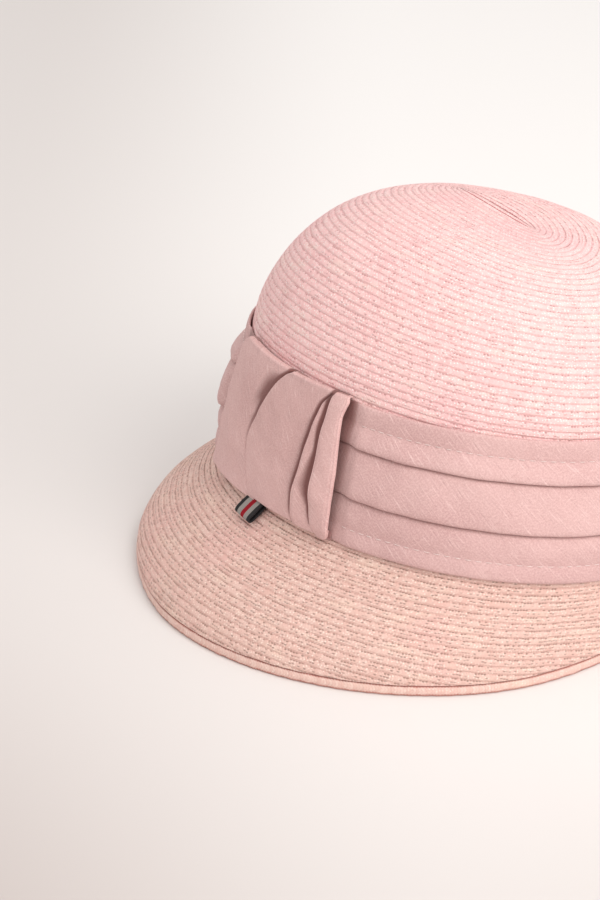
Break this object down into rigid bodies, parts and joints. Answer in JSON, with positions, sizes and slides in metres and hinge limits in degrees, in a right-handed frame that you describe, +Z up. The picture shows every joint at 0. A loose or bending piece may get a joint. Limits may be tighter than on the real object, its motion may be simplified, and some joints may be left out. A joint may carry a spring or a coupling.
{
  "type": "cloche hat",
  "caption": "Bell-shaped straw cloche hat with a rounded crown, a drooping brim deeper on one side, a tiered linen band, a pleated side wrap and a folded ribbon tag.",
  "frame": {"origin": "on the table, at the middle of the rim's outline", "axes": "+Z up, +Y to the back of the hat, +X to the wearer's left, where the wrap is and the brim is deepest"},
  "size_m": [0.2346, 0.2336, 0.1477],
  "materials": {
    "pink_straw": "soft pink sewn braid, matt with small glints",
    "pale_straw": "pale peach sewn braid, matt with small glints",
    "rim_straw": "pale peach braid, a thicker last row",
    "band_linen": "dusty pink slubbed linen, matt",
    "wrap_linen": "dusty pink slubbed linen, matt",
    "tag_ribbon": "striped ribbed ribbon, matt"
  },
  "bodies": {
    "root": {"crown": "pink_straw", "brim": "pale_straw", "rim_braid": "rim_straw", "band": "band_linen", "side_wrap": "wrap_linen", "side_tag": "tag_ribbon"}
  },
  "joints": []
}
